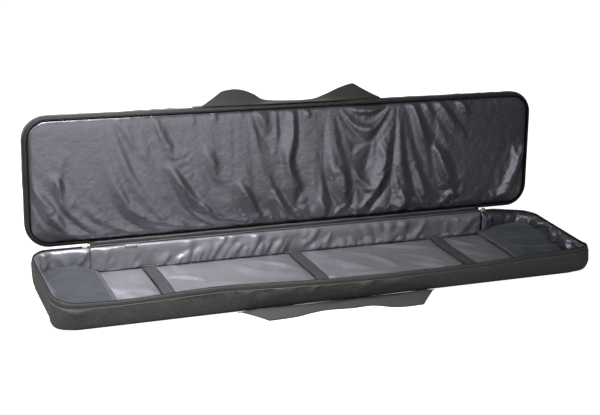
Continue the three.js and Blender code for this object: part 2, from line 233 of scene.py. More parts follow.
def creases(u, v, seed, count, angle, spread, length, width, height):
    """Soft ridges and hollows at random places on a sheet with the coordinates u and v. They run at
    about angle, give or take spread, in degrees."""
    rng = np.random.default_rng(seed)
    out = np.zeros_like(u)
    for _ in range(count):
        u0, v0 = rng.uniform(u.min(), u.max()), rng.uniform(v.min(), v.max())
        a = math.radians(angle + rng.normal(0, spread))
        size = rng.uniform(0.5, 1.5)
        du, dv = u - u0, v - v0
        along = du * math.cos(a) + dv * math.sin(a)
        bow = rng.normal(0, 0.15) * along**2 / length
        across = dv * math.cos(a) - du * math.sin(a) + bow
        w = width * rng.uniform(0.6, 1.5)
        h = height * rng.normal(0.6, 0.6)
        side = 1 + 0.6 * rng.uniform(-1, 1) * np.tanh(across / w)
        out += h * side * tent(across / w / 1.5, BLUNT) * np.exp(-((along / (length * size)) ** 4))
    return out


def fold(u, v, line, width, height, lean=0.0, blunt=BLUNT):
    """One ridge along a given line, tapering out at both ends; lean makes one side steep."""
    line = even(rounded(line, 4.0), 4.0)
    along = length_along(line)
    best = np.full(u.shape, 1e9)
    signed = np.zeros(u.shape)
    at = np.zeros(u.shape)
    for i in range(len(line) - 1):
        a, d = line[i], line[i + 1] - line[i]
        size = np.hypot(*d)
        t = np.clip(((u - a[0]) * d[0] + (v - a[1]) * d[1]) / size**2, 0, 1)
        du, dv = u - a[0] - t * d[0], v - a[1] - t * d[1]
        dist = np.hypot(du, dv)
        side = np.sign(d[0] * dv - d[1] * du) * dist
        near = dist < best
        best = np.where(near, dist, best)
        signed = np.where(near, side, signed)
        at = np.where(near, along[i] + t * size, at)
    ends = np.sin(np.clip(at / along[-1], 0, 1) * math.pi) ** 0.6
    w = width * (0.35 + 0.65 * ends)
    x = signed / w / 1.5
    x = np.where(x > 0, x / (1 + 0.55 * lean), x / (1 - 0.55 * lean))
    return height * ends * tent(x, blunt)


# ---- meshes ----
def placed(name, data):
    """A new object in the scene."""
    obj = bpy.data.objects.new(name, data)
    bpy.context.scene.collection.objects.link(obj)
    return obj


class Soup:
    """Collects grids of points in mm and turns them into one mesh object with a UV map in metres."""

    def __init__(self):
        self.points, self.faces, self.uvs, self.count = [], [], [], 0

    def grid(self, p, u=None, v=None, loop_u=False, loop_v=False, caps=False):
        """Adds a grid; u and v are its places along its rows and columns, or else they are measured."""
        n, m = p.shape[:2]
        if u is None:
            u = length_along(np.concatenate([p[:, 0], p[:1, 0]]))
        if v is None:
            v = length_along(np.concatenate([p[0], p[0, :1]]))
        i, j = net(np.arange(n if loop_u else n - 1), np.arange(m if loop_v else m - 1))
        i, j = i.ravel(), j.ravel()
        corners = [(i, j), (i + 1, j), (i + 1, j + 1), (i, j + 1)]
        f = np.stack([(a % n) * m + b % m for a, b in corners], -1) + self.count
        uv = np.stack([np.stack([u[a], v[b]], -1) for a, b in corners], 1)
        self.faces += f.tolist()
        self.uvs.append(uv.reshape(-1, 2))
        if caps:
            for k, turn in ((0, 1), (n - 1, -1)):
                self.faces.append((self.count + k * m + np.arange(m)[::turn]).tolist())
                self.uvs.append(np.stack([np.full(m, u[k]), v[:m][::turn]], -1))
        self.points.append(p.reshape(-1, 3))
        self.count += n * m
        return self

    def sweep(self, rings, along=None):
        """A closed sweep of rings."""
        return self.grid(rings, along, loop_v=True, caps=True)

    def object(self, name, thick=0.0, weld=False):
        mesh = bpy.data.meshes.new(name)
        mesh.from_pydata((np.concatenate(self.points) * MM).tolist(), [], self.faces)
        layer = mesh.uv_layers.new(name="UVMap")
        layer.data.foreach_set("uv", (np.concatenate(self.uvs) * MM).astype(np.float32).ravel())
        mesh.polygons.foreach_set("use_smooth", [True] * len(mesh.polygons))
        mesh.update()
        obj = placed(name, mesh)
        if weld:
            modifier = obj.modifiers.new("weld", "WELD")
            modifier.merge_threshold = 0.2 * MM
        if thick:
            modifier = obj.modifiers.new("thickness", "SOLIDIFY")
            modifier.thickness = thick * MM
            modifier.offset = 0
        return obj


def dress(obj, body, material, slot, *nodes):
    """Gives a piece its material, its body and the CAD nodes that it stands for. A piece that bends
    across a joint has no body of its own."""
    obj.data.materials.append(material)
    if body:
        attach(obj, body)
    if nodes:
        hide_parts(*nodes)


def cord(name, rings, along=None):
    return Soup().sweep(rings, along).object(name)


def coil(s0, s1, outward, height, move):
    """A zip coil: a fine helix along the rim, pressed a little flat across its turns."""
    radius, pitch, wire, flat = 1.1, 1.8, 0.42, 1.4
    per_turn = 7
    s = np.linspace(s0, s1, int((s1 - s0) / pitch * per_turn))
    turn = (s - s0) / pitch * 2 * math.pi
    xy, n = rim(s)
    centre = np.empty((len(s), 3))
    centre[:, :2] = xy + n * (outward + radius * np.cos(turn))[:, None]
    centre[:, 2] = height + radius * np.sin(turn)
    ring = (np.arange(4) / 4 * 2 * math.pi)[:, None]
    radial = np.stack([n[:, 0] * np.cos(turn), n[:, 1] * np.cos(turn), np.sin(turn)], -1)[:, None]
    along = np.stack([-n[:, 1], n[:, 0], np.zeros(len(s))], -1)[:, None]
    return move(centre[:, None] + wire * (radial * np.cos(ring) + along * np.sin(ring) * flat))


def tube(line, radius, sides):
    """The rings of a round cord along a line of points."""
    line = np.asarray(line, float)
    d = np.gradient(line, axis=0)
    d /= np.linalg.norm(d, axis=1)[:, None]
    up = np.where(np.abs(d[:, 2:]) > 0.9, [[0.0, 1.0, 0.0]], [[0.0, 0.0, 1.0]])
    a = np.cross(d, up)
    a /= np.linalg.norm(a, axis=1)[:, None]
    b = np.cross(a, d)
    t = ((np.arange(sides) + 0.5) / sides * 2 * math.pi)[:, None]
    return line[:, None] + radius * (a[:, None] * np.cos(t) + b[:, None] * np.sin(t))


def extruded(x, section):
    """A section of [y, z] points repeated at each place x."""
    p = np.empty((len(x), len(section), 3))
    p[..., 0] = x[:, None]
    p[..., 1:] = section
    return p


def bar(x, y0, y1, low, high):
    """Rings of four points along x, between two depths and two heights."""
    sides = ((y0, low), (y1, low), (y1, high), (y0, high))
    return np.stack([np.stack([x, np.full(len(x), y), z], -1) for y, z in sides], 1)


def to_medial(ring, steps):
    """Carries the last ring of a sweep inwards over the flat panel to its middle line."""
    middle = ring.copy()
    middle[..., 0] = np.clip(ring[..., 0], -STRAIGHT + 40, STRAIGHT - 40)
    middle[..., 1] = 0
    t = np.asarray(steps)[None, :, None]
    return ring[:, None] * (1 - t) + middle[:, None] * t


# ---- cloth simulation ----
TAFFETA = {
    "quality": 5,
    "mass": 0.12,
    "tension_stiffness": 20,
    "compression_stiffness": 20,
    "shear_stiffness": 8,
    "bending_stiffness": 0.3,
    "air_damping": 2,
}
# How much higher the folds stand in the pattern than in the cloth at its start.
SPARE = 1.15


def flat_net(width, height, step):
    nx, nv = round(width / step) + 1, round(height / step) + 1
    return net(np.linspace(0, width, nx), np.linspace(0, height, nv))


def cloth_sheet(name, width, height, step, rest, folds, seed, gravity):
    """A sheet in an upright plane, pinned at its border and started from its main folds.
    rest gives the pattern that it was cut to, with spare cloth and skew, from the pinned places."""
    x, v = flat_net(width, height, step)
    rng = np.random.default_rng(seed)
    inside = np.zeros(x.shape)
    inside[1:-1, 1:-1] = 1
    ridges = folds(x - width / 2, v) * inside
    out = ridges + rng.normal(0, 0.2, x.shape) * inside
    obj = Soup().grid(np.stack([x, -out, v], -1), x[:, 0], v[0]).object(name)
    obj.shape_key_add(name="Basis")
    key = obj.shape_key_add(name="rest")
    rx, rv = rest(x, v)
    flat = np.stack([rx, -SPARE * ridges, rv], -1) * MM
    key.data.foreach_set("co", flat.astype(np.float32).ravel())
    group = obj.vertex_groups.new(name="pin")
    group.add(np.flatnonzero(inside.ravel() == 0).tolist(), 1.0, "REPLACE")
    cloth = obj.modifiers.new("cloth", "CLOTH").settings
    cloth.effector_weights.gravity = gravity
    cloth.rest_shape_key = key
    cloth.vertex_group_mass = "pin"
    for setting, value in TAFFETA.items():
        setattr(cloth, setting, value)
    return obj, x.shape


def settled(sheets, frames):
    """Runs the cloth of all the sheets together; returns each one's places in mm."""
    scene = bpy.context.scene
    for f in range(1, frames + 1):
        scene.frame_set(f)
    graph = bpy.context.evaluated_depsgraph_get()
    found = []
    for obj, shape in sheets:
        mesh = obj.evaluated_get(graph).data
        co = np.zeros(len(mesh.vertices) * 3, np.float32)
        mesh.vertices.foreach_get("co", co)
        found.append(co.reshape(*shape, 3).astype(float) / MM)
    scene.frame_set(1)
    for obj, _ in sheets:
        bpy.data.objects.remove(obj)
    return found


# ---- materials ----
def connect(tree, n, inputs):
    """Links sockets and sets plain values."""
    for key, value in inputs.items():
        if isinstance(value, bpy.types.NodeSocket):
            tree.links.new(value, n.inputs[key])
        else:
            n.inputs[key].default_value = value


def node(tree, kind, inputs=None, **settings):
    n = tree.nodes.new(kind)
    for key, value in settings.items():
        setattr(n, key, value)
    connect(tree, n, inputs or {})
    return n


def maths(tree, op, a, b=0.0, c=0.0):
    return node(tree, "ShaderNodeMath", {0: a, 1: b, 2: c}, operation=op).outputs[0]


def multiply_add(tree, a, b, c):
    return maths(tree, "MULTIPLY_ADD", a, b, c)


def blended(tree, share, dark, light):
    inputs = {"Factor": share, 6: (*dark, 1), 7: (*light, 1)}
    return node(tree, "ShaderNodeMix", inputs, data_type="RGBA").outputs[2]


def weave_height(tree, pitch, across=1.0):
    """A plain weave from the UV map, whose unit is the metre: (height, which thread is on top)."""
    uv = node(tree, "ShaderNodeUVMap", uv_map="UVMap").outputs[0]
    scale = (1 / pitch, 1 / (pitch * across), 1)
    p = node(tree, "ShaderNodeMapping", {"Vector": uv, "Scale": scale}).outputs[0]
    split = node(tree, "ShaderNodeSeparateXYZ", {0: p})
    waves = [maths(tree, "SINE", maths(tree, "MULTIPLY", split.outputs[k], math.pi)) for k in (0, 1)]
    warp, weft = [maths(tree, "ABSOLUTE", wave) for wave in waves]
    top = node(tree, "ShaderNodeTexChecker", {"Vector": p, "Scale": 1.0}).outputs[1]
    low = maths(tree, "MULTIPLY", warp, top)
    high = maths(tree, "MULTIPLY", weft, maths(tree, "SUBTRACT", 1.0, top))
    return maths(tree, "ADD", low, high), top


def noise(tree, scale, detail=3.0, rough=0.5):
    at = node(tree, "ShaderNodeTexCoord").outputs["Object"]
    values = {"Vector": at, "Scale": scale, "Detail": detail, "Roughness": rough}
    return node(tree, "ShaderNodeTexNoise", values).outputs[0]


def ramp(tree, value, low, high, start=0.0, end=1.0):
    values = {"Value": value, "From Min": low, "From Max": high, "To Min": start, "To Max": end}
    return node(tree, "ShaderNodeMapRange", values).outputs[0]


def principled(name):
    """A new material, its nodes and its shader."""
    material = bpy.data.materials.new(name)
    material.use_nodes = True
    tree = material.node_tree
    return material, tree, tree.nodes["Principled BSDF"]


def bump(tree, height, strength, distance):
    values = {"Height": height, "Strength": strength, "Distance": distance}
    return node(tree, "ShaderNodeBump", values).outputs[0]


def fabric(name, dark, light, pitch, rough, depth, across=1.0, fuzz=0.0, crumple=0.0, slub=0.0):
    """A woven or knitted cloth: threads, uneven dye, and a little crumple."""
    material, tree, shader = principled(name)
    height, _ = weave_height(tree, pitch, across)
    patches = ramp(tree, noise(tree, 9.0, 4.0), 0.3, 0.7)
    grain = ramp(tree, noise(tree, 700.0, 2.0), 0.25, 0.75)
    threads = maths(tree, "SUBTRACT", noise(tree, 330.0, 2.0, 0.7), 0.5)
    share = maths(tree, "MULTIPLY", patches, 0.25)
    for part, weight in ((grain, 0.35), (height, 0.35), (threads, slub)):
        share = multiply_add(tree, part, weight, share)
    whole = maths(tree, "MULTIPLY", noise(tree, 60.0, 4.0), crumple)
    whole = multiply_add(tree, height, depth, whole)
    connect(tree, shader, {
        "Base Color": blended(tree, share, dark, light),
        "Roughness": rough,
        "Sheen Weight": fuzz,
        "Sheen Roughness": 0.5,
        "Normal": bump(tree, whole, 1.0, 1.0),
    })
    return material


def ribbon(name, dark, light, rough=0.6, **looks):
    """Narrow tape with fine ribs across it."""
    return fabric(name, dark, light, 0.0008, rough, 0.0001, across=2.0, **looks)


def webbing(name, dark, light, **looks):
    return fabric(name, dark, light, 0.0022, 0.7, 0.0003, across=0.55, **looks)


def satin(name, dark, light, rough, metal, crumple=0.0011):
    """Thin nylon taffeta: a fine weave with a wide soft gloss and small crumples."""
    material, tree, shader = principled(name)
    height, top = weave_height(tree, 0.00045)
    patches = ramp(tree, noise(tree, 5.0), 0.3, 0.7)
    share = maths(tree, "ADD", maths(tree, "MULTIPLY", patches, 0.6), maths(tree, "MULTIPLY", top, 0.3))
    whole = maths(tree, "MULTIPLY", noise(tree, 45.0, 4.0, 0.55), crumple)
    whole = multiply_add(tree, noise(tree, 190.0), crumple * 0.18, whole)
    whole = multiply_add(tree, height, 0.00002, whole)
    connect(tree, shader, {
        "Base Color": blended(tree, share, dark, light),
        "Roughness": multiply_add(tree, patches, 0.06, rough - 0.03),
        "Metallic": metal,
        "Specular IOR Level": 0.6,
        "Normal": bump(tree, whole, 0.8, 1.0),
    })
    return material


def hard(name, colour, rough, scratch, metal=0.0):
    """Moulded plastic, foam or metal, a little worn."""
    material, tree, shader = principled(name)
    patches = ramp(tree, noise(tree, 120.0, 4.0), 0.3, 0.7)
    connect(tree, shader, {
        "Base Color": blended(tree, patches, tuple(c * 0.75 for c in colour), colour),
        "Roughness": multiply_add(tree, patches, 0.15, rough),
        "Metallic": metal,
        "Normal": bump(tree, noise(tree, 900.0, 2.0), 0.3, scratch),
    })
    return material


SHELL = fabric("shell_polyester", (0.049, 0.046, 0.045), (0.1, 0.094, 0.092), 0.0011, 0.75, 0.00012,
               fuzz=0.08, crumple=0.0006, slub=2.6)
TRICOT = fabric("pocket_tricot", (0.026, 0.033, 0.041), (0.053, 0.064, 0.077), 0.0009, 0.7, 0.0001,
                across=1.4, fuzz=0.14, crumple=0.0006)
STRAP = fabric("strap_webbing", (0.035, 0.035, 0.039), (0.085, 0.085, 0.092), 0.002, 0.42, 0.0002,
               across=0.6, slub=0.8)
# The welt is the shell fabric's own turned edge. Its lighter copy of the shell colour is a painted highlight
# along the fold.
WELT_PAINTED_HIGHLIGHT = fabric("seam_welt", (0.1, 0.096, 0.094), (0.17, 0.162, 0.158), 0.0009, 0.7, 0.0001)
THREAD = fabric("sewing_thread", (0.06, 0.058, 0.057), (0.1, 0.097, 0.095), 0.0006, 0.6, 0.0001)
HOOKS = fabric("hook_and_loop", (0.02, 0.02, 0.022), (0.05, 0.05, 0.053), 0.0014, 0.85, 0.0006, fuzz=0.4)
# The lining is one taffeta. Its copies here differ in brightness by surface, which paints light and shade:
# the floor's copy is painted lighter for the light from above, and the copy for the right end and the front
# wall is painted darker for their shade. The lid's copy and the copy for the rear wall and left end lie
# between.
SATIN = satin("satin_taffeta", (0.172, 0.168, 0.195), (0.228, 0.223, 0.256), 0.27, 0.88, 0.0016)
LIT_FLOOR_TAFFETA = satin("floor_taffeta_painted_light", (0.32, 0.315, 0.35), (0.43, 0.425, 0.462), 0.38, 0.65, 0.0018)
REAR = satin("rear_taffeta", (0.19, 0.186, 0.212), (0.26, 0.256, 0.286), 0.42, 0.5, 0.0014)
SHADED_WALL_TAFFETA = satin("wall_taffeta_painted_shade", (0.12, 0.117, 0.138), (0.18, 0.176, 0.2), 0.4, 0.8)
WEBBING = webbing("webbing", (0.036, 0.034, 0.033), (0.084, 0.079, 0.077), fuzz=0.05, slub=1.6)
# The lid handle's webbing is a darker copy of the tray handle's webbing: painted shade.
SHADED_LID_WEB = webbing("lid_webbing_painted_shade", (0.014, 0.013, 0.0125), (0.034, 0.032, 0.031), fuzz=0.03)
PIPING = ribbon("floor_piping", (0.11, 0.11, 0.12), (0.18, 0.18, 0.195), fuzz=0.05)
TAB = ribbon("tab_ribbon", (0.26, 0.26, 0.265), (0.36, 0.36, 0.365))
TAPE = ribbon("zip_tape_cloth", (0.009, 0.009, 0.01), (0.024, 0.024, 0.027), 0.75, fuzz=0.05)
TRAY_TAPE = ribbon("tray_tape_cloth", (0.036, 0.034, 0.034), (0.072, 0.068, 0.067), 0.75, fuzz=0.05, slub=1.6)
BINDING = ribbon("edge_binding", (0.06, 0.06, 0.068), (0.12, 0.12, 0.13), fuzz=0.05)
COIL = hard("nylon_coil", (0.012, 0.012, 0.013), 0.35, 0.00002)
FOAM = hard("foam", (0.03, 0.03, 0.032), 0.95, 0.0006)
BOARD = hard("stiffener_sheet", (0.025, 0.025, 0.027), 0.5, 0.0001)
METAL = hard("zip_metal", (0.78, 0.71, 0.53), 0.34, 0.00003, 0.8)


# ---- tray: outer fabric and zip ----
WALL_STEP = 3.0


def shell_wall(s, rear_top, seam, upper_rows, out, low, swell=0.0):
    """The outer wall: its top edge lower beside the zip, straight upper rows, then the rounded foot.
    Returns the wall's points and its coordinates along and down."""
    zip_side = near_zip(s, -2, 4)[:, None]
    foot = rounded(low, WALL_STEP)
    t = np.linspace(0, 1, upper_rows, endpoint=False)
    upper = np.empty((len(s), upper_rows, 2))
    upper[..., 0] = out + swell * np.exp(-((t - 0.1) / 0.1) ** 2) * zip_side
    upper[..., 1] = (rear_top + (seam - rear_top) * zip_side) * (1 - t) + low[0][1] * t
    wall = swept(s, np.concatenate([upper, np.broadcast_to(foot, (len(s),) + foot.shape)], 1))
    u, v = net(s, np.arange(wall.shape[1]) * WALL_STEP)
    return wall, u, v


def tray_shell():
    """The outer fabric: creased beside the zip, puckered low down, most of all at the slack front left."""
    s = all_round(5.0)
    low = [(0.5, 52), (0.2, 40), (-0.8, 27), (-2.0, 17), (-4.2, 9), (-8.5, 3.2), (-15, 0.8), (-24, 0.6)]
    wall, u, v = shell_wall(s, 69.0, SEAM_Z + 0.4, 5, 0.6, low, 0.5)
    xy, n = rim(s)
    zip_side = near_zip(s, -20, 20)[:, None]
    bend = creases(u, v, 3, 150, 75, 25, 26, 7, 1.1) * np.clip(v / 12, 0, 1) * np.clip((72 - v) / 20, 0, 1)
    pucker = creases(u, v, 6, 70, 70, 35, 30, 12, 2.0) * np.clip(v / 15, 0, 1)
    pucker *= 0.3 + 0.7 * zip_side
    slack = np.exp(-(((xy[:, 0] + 110) / 230) ** 4)) * (xy[:, 1] < -140)
    loose = creases(u, v, 8, 170, 105, 18, 22, 9, 4.5)
    pucker += slack[:, None] * 3.5 * np.tanh(loose / 3.5)
    pucker *= np.clip((48 - v) / 24, 0, 1)
    wall[..., :2] += n[:, None] * (bend * (0.35 + 0.65 * zip_side) + pucker)[..., None]
    inner = to_medial(wall[:, -1], [0.12, 0.3, 0.5, 0.7, 0.85, 1.0])
    inner[..., 2] = low[-1][1]
    padded_shell("tray", settle(np.concatenate([wall, inner], 1)), s, "bottom")


def padded_shell(owner, p, s, panel):
    """The outer fabric of the tray or the lid as one padded piece."""
    obj = Soup().grid(p, np.append(s, AROUND), length_along(p[0]), loop_u=True)
    obj = obj.object(f"{owner}_shell", 1.2, weld=True)
    parts = (f"{panel}_panel", "front_wall", "left_end_wall", "right_end_wall", "rear_wall")
    dress(obj, owner, SHELL, "shell_fabric", *(f"{owner}_{part}" for part in parts))


def zip_band(owner, section, coil_at, move, material):
    """One side's zip tape with its coil; coil_at is how far out and how high the coil lies."""
    s = stations(ZIP_END, AROUND - ZIP_END, 5.0)
    line = rounded(section, 2.0)
    p = move(swept(s, line))
    tape = Soup().grid(p, s - s[0], length_along(line)).object(f"{owner}_tape", 0.8)
    dress(tape, owner, material, "zip_tape", f"{owner}_zip_tape")
    teeth = cord(f"{owner}_coil", coil(s[0], s[-1], *coil_at, move))
    dress(teeth, owner, COIL, "zip_coil", f"{owner}_zip_coil")


def seam_welt(owner, height, below, move):
    """The turned edge of the shell beside the zip tape, with its row of stitches below it. The edge is a
    lighter copy of the shell colour, a painted highlight along the fold.
    """
    s = stations(ZIP_END + 4, AROUND - ZIP_END - 4, 4.0)
    xy, n = rim(s)
    line = np.concatenate([xy + n * 0.9, np.full((len(s), 1), height)], 1)
    welt = cord(f"{owner}_seam_welt", move(tube(line, 0.9, 6)), s - s[0])
    dress(welt, owner, WELT_PAINTED_HIGHLIGHT, "shell_fabric")
    stitches = Soup()
    for s0 in np.arange(ZIP_END + 6, AROUND - ZIP_END - 8, 4.5):
        xy, n = rim(s0 + np.array([0, 0.8, 2.4, 3.2]))
        out = np.array([0.5, 1.25, 1.25, 0.5])[:, None]
        line = np.concatenate([xy + n * out, np.full((4, 1), height + below)], 1)
        stitches.sweep(move(tube(line, 0.4, 4)))
    dress(stitches.object(f"{owner}_seam_stitches"), owner, THREAD, "shell_fabric")


def tray_wall_padding():
    s = all_round(8.0)
    section = [(-2.2, 55.5), (-5.6, 55.5), (-7.4, 54), (-9, 40), (-10.4, 20), (-11.2, 9.5), (-6, 9.2),
               (-4.0, 20), (-2.6, 40)]
    p = settle(swept(s, section))
    obj = Soup().grid(p, np.append(s, AROUND), loop_u=True, loop_v=True).object("tray_foam_ring")
    dress(obj, "tray", FOAM, "foam", "tray_wall_foam")


# ---- tray: linings ----
WALL_LINING = rounded([(-1.9, 66.5), (-4.5, 64.5), (-7.2, 60.5), (-9.2, 53), (-10.6, 40), (-11.6, 24),
                       (-12.2, 14), (-13.2, 9)], 3.0)
DOWN_WALL = length_along(WALL_LINING)
LINING_H = DOWN_WALL[-1]


def wall_lining(side, s, lift, along, material):
    """A lining down the inside of the wall. lift and along are how far each point stands off and slips."""
    p = swept(s, WALL_LINING)
    _, n = rim(s)
    way = np.stack([-n[:, 1], n[:, 0]], -1)
    p[..., :2] -= n[:, None] * lift[..., None]
    p[..., :2] += way[:, None] * along[..., None]
    obj = Soup().grid(settle(p), s - s[0], DOWN_WALL).object(f"tray_{side}_satin", 0.5)
    end = "_end" if side in ("left", "right") else ""
    dress(obj, "tray", material, "lining_satin", f"tray_{side}{end}_lining")


def sewn_edges(down, width):
    """0 at the lining's upper and lower seams and 1 away from them."""
    return np.clip(down / width, 0, 1) * np.clip((LINING_H - down) / width, 0, 1)


def rear_rest(x, v):
    """The rear lining is gathered over its middle and skewed, so that its folds lean."""
    return x * 1.05 - 0.16 * v, v * 1.03


def rear_folds(x, v):
    """Leaning gathers, strongest left of the middle; small ones along the lower seam everywhere.
    x grows to the left, v downwards."""
    rng = np.random.default_rng(11)
    out = creases(x, v, 13, 70, 60, 25, 30, 9, 3.5)
    for x0 in np.arange(-490, 420, 19):
        middle = math.exp(-(((x0 - 150) / 190) ** 4))
        a = x0 + rng.normal(0, 6)
        lean, drop = rng.uniform(10, 24), rng.uniform(0, 16)
        top = (a - lean, 44 - 30 * middle + drop)
        foot = (a + lean * 0.6, 66 - drop * 0.4 * middle)
        size = (0.7 + 0.3 * middle) * rng.uniform(0.7, 1.3)
        width = 10 * rng.uniform(0.6, 1.3)
        ridge = fold(x, v, [top, (a, 56 - 16 * middle), foot], width, 12 * size, rng.choice([-0.7, 0.6]))
        out = np.maximum(out, ridge)
    return out


def rear_lining(places):
    """places come from the simulation: along the rim, off the wall, down the wall."""
    nx, nv = places.shape[:2]
    s = np.linspace(-REAR_W / 2, REAR_W / 2, nx)
    rows = np.linspace(0, LINING_H, nv)
    lift = np.stack([np.interp(DOWN_WALL, rows, -row[:, 1]) for row in places])
    slip = np.stack([np.interp(DOWN_WALL, rows, row[:, 0] - row[0, 0]) for row in places])
    lift = soft_floor(lift, 0.4)
    clear = sum(np.exp(-(((s + x) / STRAP_ROOM) ** 4)) for x in STRAP_X)[:, None]
    lift = (1.4 + 12 * np.tanh(lift / 12) * (1 - 0.8 * clear)) * sewn_edges(DOWN_WALL[None], 5.0)
    wall_lining("rear", s, lift, slip, REAR)


def end_lining(side, s0, s1, seed, height, material):
    s = stations(s0, s1, 3.0)
    along, down = net(s, DOWN_WALL)
    lift = 2.5 + creases(along, down, seed, 60, 78, 25, 24, 9, height)
    lift += creases(along, down, seed + 1, 50, 20, 40, 16, 5, height * 0.5)
    lift = np.clip(lift, -1, 12) * sewn_edges(down, 8.0)
    wall_lining(side, s, lift, np.zeros_like(lift), material)


def tray_linings(rear_places):
    gap = 0.3
    rear_lining(rear_places)
    # The left end takes the lighter copy, and the right end and the front take the darker one: painted light
    # and shade on one taffeta.
    end_lining("left", ZIP_END + gap, FRONT_LEFT, 21, 3.0, REAR)
    end_lining("right", FRONT_RIGHT, AROUND - ZIP_END - gap, 31, 6.0, SHADED_WALL_TAFFETA)
    end_lining("front", FRONT_LEFT + gap, FRONT_RIGHT - gap, 41, 2.0, SHADED_WALL_TAFFETA)


def half_width(x, inset):
    """Half the tray's width at x, inside its rounded corners."""
    past = np.clip(np.abs(x) - STRAIGHT, 0, CORNER_R - inset)
    return SIDE / 2 + np.sqrt(np.maximum((CORNER_R - inset) ** 2 - past**2, 0))


# Folds of the floor liner: a line of (x, y), half width, height, and the steep side.
LINER_FOLDS = [
    ([(-340, -20), (-280, 5), (-200, -10), (-100, -70)], 13, 7, -0.6),
    ([(-350, 70), (-300, 55), (-260, 20)], 10, 6, -0.5),
    ([(-170, 105), (-150, 60), (-90, 20), (20, -10)], 17, 9, -0.6),
    ([(-130, 110), (-70, 70), (-20, 20)], 11, 6, 0.5),
    ([(-470, 20), (-440, -30), (-400, -50)], 16, 4, 0),
    ([(40, 110), (70, 40), (150, -60)], 13, 8, -0.6),
    ([(110, 90), (160, 40), (200, -40)], 15, 8, 0.5),
    ([(60, -30), (130, -50), (230, -60)], 11, 6, -0.5),
    ([(200, 118), (290, 85), (350, 70)], 10, 10, 0.6),
    ([(225, 50), (290, 20), (330, -30)], 12, 10, -0.7),
    ([(410, 110), (440, 70), (470, 60)], 9, 9, 0.6),
    ([(230, 0), (290, -30), (350, -90)], 12, 11, -0.7),
    ([(395, 60), (430, 20), (480, -10)], 11, 9, -0.7),
]
# The loose part of the floor liner, between the pockets, and where its middle lies.
FLOOR_W = 1000.0
FLOOR_D = 268.0
FLOOR_MID = 3.0


def floor_rest(x, v):
    return x * 1.018 + 0.05 * v, v * 1.02


def floor_folds(x, v):
    """The long soft folds of the floor liner between the pockets."""
    y = v - FLOOR_D / 2
    out = creases(x, y, 51, 40, -25, 30, 70, 13, 2.5)
    for ridge in LINER_FOLDS:
        out = np.maximum(out, fold(x + FLOOR_MID, y, *ridge))
    return out


def sampled(grid, a, b):
    """Values of a grid between its points, at the fractional rows a and columns b."""
    i = np.clip(a.astype(int), 0, grid.shape[0] - 2)
    j = np.clip(b.astype(int), 0, grid.shape[1] - 2)
    a, b = np.clip(a - i, 0, 1), np.clip(b - j, 0, 1)
    near = grid[i, j] * (1 - a) + grid[i + 1, j] * a
    far = grid[i, j + 1] * (1 - a) + grid[i + 1, j + 1] * a
    return near * (1 - b) + far * b


def floor_liner(places):
    x = np.linspace(-HALF_L + 9.0, HALF_L - 9.0, 320)
    t = np.linspace(-1, 1, 72)
    xx, tt = net(x, t)
    yy = tt * (half_width(xx, 9.5) - 2.5)
    nx, nv = places.shape[:2]
    row = (xx - FLOOR_MID + FLOOR_W / 2) / FLOOR_W * (nx - 1)
    lift = soft_floor(sampled(-places[..., 1], row, (tt + 1) / 2 * (nv - 1)), 0.1)
    lift = 10 * np.tanh(lift / 10)
    # the liner swells between the middle strap and the right one, and the straps press it down
    reach = np.where(xx < 125, 95, 150)
    lift += 9 * np.exp(-(((xx - 125) / reach) ** 2)) * (1 - tt**2)
    lift *= 1 - 0.75 * sum(np.exp(-(((xx - x0) / STRAP_ROOM) ** 4)) for x0 in STRAP_X)
    side_edge = np.clip((1 - np.abs(tt)) / 0.06, 0, 1)
    zz = 7.2 + lift * side_edge * (1 - smoothstep(np.abs(xx), 500, 520))
    p = settle(np.stack([xx, yy, zz], -1))
    obj = Soup().grid(p, x - x[0], t * 138).object("floor_liner_sheet", 0.5)
    # The floor takes the lighter copy of the taffeta, painted light from above.
    dress(obj, "tray", LIT_FLOOR_TAFFETA, "lining_satin", "tray_floor_liner")


def floor_piping():
    x = np.linspace(-484, 491, 240)
    wave = np.sin(x / 37.0) * 0.7 + np.sin(x / 13.0 + 1) * 0.25
    line = np.stack([x, 136.0 + wave * 0.6, 11.2 + wave], -1)
    obj = cord("floor_piping_cord", settle(tube(line, 3.0, 8)), x - x[0])
    dress(obj, "tray", PIPING, "edge_binding", "tray_floor_piping")


# ---- end pockets ----
# How high each pocket's sewn edges rise above the floor: along the rear wall, by the distance from
# the mouth, and along the end wall, by y.
POCKET_RISE = {
    "left": (([0, 18, 53, 80, 118, 140], [1, 11, 21, 21, 14, 11]), ([-100, 0, 100], [7, 8, 10])),
    "right": (([0, 14, 34, 79, 107, 134], [1, 9, 17, 27, 30, 27]),
              ([-100, -57, 5, 50, 100], [6, 7, 13, 21, 27])),
}
# Folds of a pocket: a line of (distance from the mouth, y), half width, height, and the steep side.
POCKET_FOLDS = [
    ([(-30, 52), (50, 34), (150, 8)], 24, 13, 0.9),
    ([(-40, -10), (40, -24), (95, -60)], 22, 12, 0.9),
    ([(0, 105), (70, 98), (130, 80)], 12, 6, 0.8),
    ([(20, -84), (60, -80), (110, -96)], 14, 7, 0.8),
]


def pocket_height(inward, y, name):
    """Height of a pocket's top: arched at its mouth, rising up the rear wall and the end wall."""
    along_rear, along_end = POCKET_RISE[name]
    arch = 8 * np.cos(np.clip(y / 133, -1, 1) * math.pi / 2) * (1 - 0.4 * smoothstep(inward, 0, 60))
    rear = smoothstep(y, 20, 138)
    end = smoothstep(inward, 60, 140) * (1 - rear)
    return FLOOR_TOP + 1.2 + arch + rear * curve(inward, *along_rear, 10) + end * curve(y, *along_end, 20)


